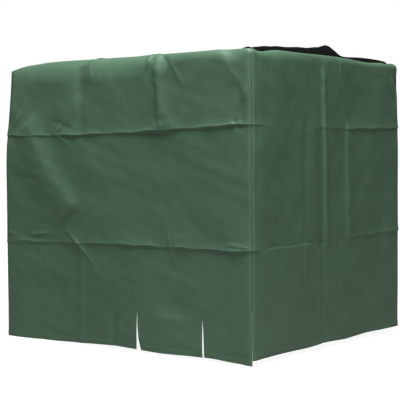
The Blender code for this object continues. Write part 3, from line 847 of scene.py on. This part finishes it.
def stitch_row(centres, directions, normals, length, thread):
    """Points and faces of a row of stitches: each a short spindle lying on the cloth."""
    side = np.cross(directions, normals)
    ring = []
    for turn in np.linspace(0, 2 * math.pi, 5)[:-1]:
        ring.append(centres + thread * (side * math.cos(turn) + normals * (0.6 * math.sin(turn) + 0.3)))
    tip = centres + directions * length / 2
    tail = centres - directions * length / 2
    points = np.stack([tail, *ring, tip], axis=1)
    faces = []
    for n in range(4):
        after = (n + 1) % 4
        faces += [(0, 1 + after, 1 + n), (5, 1 + n, 1 + after)]
    return points, faces


def stitches_along(number, along, height, inset, angle):
    """Centres, directions and normals of stitches that follow a line on a wall."""
    step = 0.0005
    here = on_wall(number, along, height, inset, angle)
    run = np.gradient(here, axis=0)
    run /= np.linalg.norm(run, axis=-1, keepdims=True)
    beside_along = on_wall(number, along + step, height, inset, angle) - here
    on_top = np.sin(angle) > 0.99
    beside_up = on_wall(number, along, height + step, inset + step * on_top, angle) - here
    normal = np.cross(beside_along, beside_up)
    normal /= np.maximum(1e-12, np.linalg.norm(normal, axis=-1, keepdims=True))
    return here, run, normal


def add_stitches(name, rows, settings):
    """One piece from several rows of stitches."""
    points = []
    faces = []
    for centres, directions, normals in rows:
        made, pattern = stitch_row(centres, directions, normals,
                                   STITCH_SHARE * settings.stitch, THREAD_WIDTH)
        start = sum(len(part) for part in points)
        for n in range(len(made)):
            faces += [[start + 6 * n + corner for corner in face] for face in pattern]
        points.append(made.reshape(-1, 3))
    mesh = bpy.data.meshes.new(name)
    mesh.from_pydata(np.concatenate(points).tolist(), [], faces)
    fix = bmesh.new()
    fix.from_mesh(mesh)
    bmesh.ops.recalc_face_normals(fix, faces=fix.faces)
    fix.to_mesh(mesh)
    fix.free()
    mesh.shade_smooth()
    mesh.materials.append(bpy.data.materials["Green polyester thread"])
    piece = bpy.data.objects.new(name, mesh)
    bpy.context.collection.objects.link(piece)
    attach(piece, "root")
    return piece


class CoverSettings(bpy.types.PropertyGroup):
    """Sizes and colours of the cover that a user would change."""
    thickness: FloatProperty(
        name="Cloth thickness", description="Thickness of the coated cloth",
        default=0.0008, min=0.0002, max=0.003, unit="LENGTH", precision=4)
    stitch: FloatProperty(
        name="Stitch pitch", description="Distance from one stitch to the next",
        default=0.007, min=0.003, max=0.02, unit="LENGTH", precision=4)
    hem_row: FloatProperty(
        name="Hem stitching", description="Height of the hem's stitching over its edge",
        default=0.015, min=0.004, max=0.05, unit="LENGTH", precision=3)
    green: FloatVectorProperty(
        name="Wall colour", description="Colour of the walls' coated face",
        default=from_hex("#3D5744"), size=3, subtype="COLOR", min=0, max=1)
    backing: FloatVectorProperty(
        name="Backing colour", description="Colour of the walls' inner side",
        default=from_hex("#3A5040"), size=3, subtype="COLOR", min=0, max=1)
    black: FloatVectorProperty(
        name="Top colour", description="Colour of the slack top",
        default=from_hex("#060807"), size=3, subtype="COLOR", min=0, max=1)
    thread: FloatVectorProperty(
        name="Thread colour", description="Colour of the sewing thread",
        default=from_hex("#4C6A54"), size=3, subtype="COLOR", min=0, max=1)


class StudioSettings(bpy.types.PropertyGroup):
    """The floor, the lights and the camera."""
    key_power: FloatProperty(
        name="Overhead light", description="Power of the large light over the cover",
        default=430.0, min=0, unit="POWER")
    fill_power: FloatProperty(
        name="Fill light", description="Power of the light beside the camera",
        default=30.0, min=0, unit="POWER")
    sky: FloatProperty(
        name="Surroundings", description="Brightness of the white studio around",
        default=0.17, min=0)
    lens: FloatProperty(
        name="Lens", description="Focal length of the camera, for a 36 mm wide frame",
        default=108.07, min=10, unit="NONE")
    glow: FloatProperty(
        name="Floor glow", description="How far the camera overexposes the floor",
        default=0.93, min=0)
    floor: FloatVectorProperty(
        name="Floor colour", description="Colour of the studio floor",
        default=from_hex("#9A9A9A"), size=3, subtype="COLOR", min=0, max=1)


CAMERA_PLACE = (3.1082, -4.0067, -0.3423)
CAMERA_YAW = math.radians(-37.99)
CAMERA_PITCH = math.radians(-2.62)
CAMERA_ROLL = math.radians(-0.36)
FLOOR_DROP = 0.003
FLOOR_SIZE = 400.0


class TANKCOVER_OT_materials(bpy.types.Operator):
    """Makes the cover's cloths and thread"""
    bl_idname = "tankcover.materials"
    bl_label = "Cloths and thread"

    def execute(self, context):
        cover = context.scene.cover
        oxford_cloth("Green coated Oxford", cover.green, 0.50, 0.35, 0.0, 0.05, 0.10)
        oxford_cloth("Green Oxford backing", cover.backing, 0.75, 0.2, 0.0, 0.06, 0.05)
        oxford_cloth("Black coated Oxford", cover.black, 0.75, 0.02, 0.0, 0.15, 0.20)
        polyester_thread("Green polyester thread", cover.thread)
        return {"FINISHED"}


class TANKCOVER_OT_walls(bpy.types.Operator):
    """Makes the four green walls"""
    bl_idname = "tankcover.walls"
    bl_label = "Walls"

    def execute(self, context):
        for number in range(len(WALLS)):
            make_wall(number, context.scene.cover)
        return {"FINISHED"}


class TANKCOVER_OT_top(bpy.types.Operator):
    """Makes the slack black top"""
    bl_idname = "tankcover.top"
    bl_label = "Top"

    def execute(self, context):
        make_top(context.scene.cover)
        return {"FINISHED"}


class TANKCOVER_OT_stitching(bpy.types.Operator):
    """Sews the hems, the corner seams and the top seam"""
    bl_idname = "tankcover.stitching"
    bl_label = "Stitching"

    def execute(self, context):
        cover = context.scene.cover
        hems = []
        corners = []
        edges = []
        for number, wall in enumerate(WALLS):
            sections = wall_sections(number)
            count = round(wall.length / cover.stitch)
            along = np.linspace(CORNER_RADIUS, wall.length - CORNER_RADIUS, count)
            height = between(sections, "hem", along) + cover.hem_row
            hems.append(stitches_along(number, along, height, 0.0, 0.0))
            roll = roll_size(number, along)
            edges.append(stitches_along(number, along, TOP - edge_drop(number, along),
                                        roll.depth + 0.4 * roll.lap, math.pi / 2))
            for from_end in (CORNER_ROW, wall.length - CORNER_ROW):
                hem = float(between(sections, "hem", np.array(from_end)))
                foot = float(TOP - roll_size(number, np.array(from_end)).height)
                rows = round((foot - hem) / cover.stitch)
                height = np.linspace(hem + 0.004, foot, rows)
                corners.append(stitches_along(number, np.full(rows, from_end), height, 0.0, 0.0))
        add_stitches("hem_stitching", hems, cover)
        add_stitches("corner_stitching", corners, cover)
        add_stitches("top_stitching", edges, cover)
        return {"FINISHED"}


class TANKCOVER_OT_stage(bpy.types.Operator):
    """Sets the floor, the lights and the camera"""
    bl_idname = "tankcover.stage"
    bl_label = "Studio"

    def execute(self, context):
        studio = context.scene.studio
        bpy.ops.mesh.primitive_plane_add(size=FLOOR_SIZE, location=(0, 0, HEM_LEVEL - FLOOR_DROP))
        floor = context.object
        floor.name = "studio_floor"
        floor.data.materials.append(studio_floor("Matt studio paper", studio.floor, studio.glow))
        world = bpy.data.worlds.new("White studio")
        world.use_nodes = True
        tree = world.node_tree
        tree.nodes.clear()
        soft = add_node(tree, "ShaderNodeBackground", {"Color": (1, 1, 1, 1), "Strength": studio.sky})
        seen = add_node(tree, "ShaderNodeBackground", {"Color": (1, 1, 1, 1), "Strength": 1.0})
        path = add_node(tree, "ShaderNodeLightPath")
        both = add_node(tree, "ShaderNodeMixShader", {},
                        {0: path.outputs["Is Camera Ray"], 1: soft.outputs["Background"],
                         2: seen.outputs["Background"]})
        add_node(tree, "ShaderNodeOutputWorld", {}, {"Surface": both.outputs["Shader"]})
        context.scene.world = world
        add_light("overhead_light", (1.0, -1.3, 3.2), (0.0, 0.0, -0.4), studio.key_power, 2.2)
        add_light("fill_light", (3.6, -2.6, 0.6), (0.0, 0.0, -0.6), studio.fill_power, 1.8)
        context.scene.view_settings.view_transform = "Standard"
        forward = Vector((math.sin(CAMERA_YAW) * math.cos(CAMERA_PITCH),
                          math.cos(CAMERA_YAW) * math.cos(CAMERA_PITCH), math.sin(CAMERA_PITCH)))
        right = Vector((math.cos(CAMERA_YAW), -math.sin(CAMERA_YAW), 0))
        up = right.cross(forward)
        rolled = right * math.cos(CAMERA_ROLL) + up * math.sin(CAMERA_ROLL)
        upright = rolled.cross(forward)
        camera = bpy.data.objects.new("camera", bpy.data.cameras.new("camera"))
        context.collection.objects.link(camera)
        axes = Matrix((rolled, upright, -forward)).transposed()
        camera.matrix_world = Matrix.Translation(CAMERA_PLACE) @ axes.to_4x4()
        camera.data.lens = studio.lens
        camera.data.sensor_width = 36.0
        context.scene.camera = camera
        return {"FINISHED"}


def add_light(name, place, aim, power, size):
    """A square soft light that looks at a point."""
    light = bpy.data.lights.new(name, "AREA")
    light.energy = power
    light.size = size
    lamp = bpy.data.objects.new(name, light)
    bpy.context.collection.objects.link(lamp)
    lamp.location = place
    lamp.rotation_euler = (Vector(aim) - Vector(place)).to_track_quat("-Z", "Y").to_euler()
    return lamp


class TANKCOVER_PT_panel(bpy.types.Panel):
    """Lists the cover's steps and settings"""
    bl_idname = "TANKCOVER_PT_panel"
    bl_label = "Tank cover"
    bl_space_type = "VIEW_3D"
    bl_region_type = "UI"
    bl_category = "Tank cover"

    def draw(self, context):
        layout = self.layout
        for group in (context.scene.cover, context.scene.studio):
            box = layout.box()
            for key in group.__annotations__:
                box.prop(group, key)
        for operator in OPERATORS:
            layout.operator(operator.bl_idname)


OPERATORS = (TANKCOVER_OT_materials, TANKCOVER_OT_walls, TANKCOVER_OT_top,
             TANKCOVER_OT_stitching, TANKCOVER_OT_stage)
CLASSES = (CoverSettings, StudioSettings, *OPERATORS, TANKCOVER_PT_panel)


def register():
    """Registers the classes and hangs the settings on the scene."""
    for each in CLASSES:
        bpy.utils.register_class(each)
    bpy.types.Scene.cover = PointerProperty(type=CoverSettings)
    bpy.types.Scene.studio = PointerProperty(type=StudioSettings)


def unregister():
    """Takes the settings and the classes away again."""
    del bpy.types.Scene.cover
    del bpy.types.Scene.studio
    for each in reversed(CLASSES):
        bpy.utils.unregister_class(each)


def main():
    """Makes the cover and its studio."""
    register()
    bpy.ops.tankcover.materials()
    bpy.ops.tankcover.walls()
    bpy.ops.tankcover.top()
    bpy.ops.tankcover.stitching()
    bpy.ops.tankcover.stage()


if __name__ == "__main__":
    main()
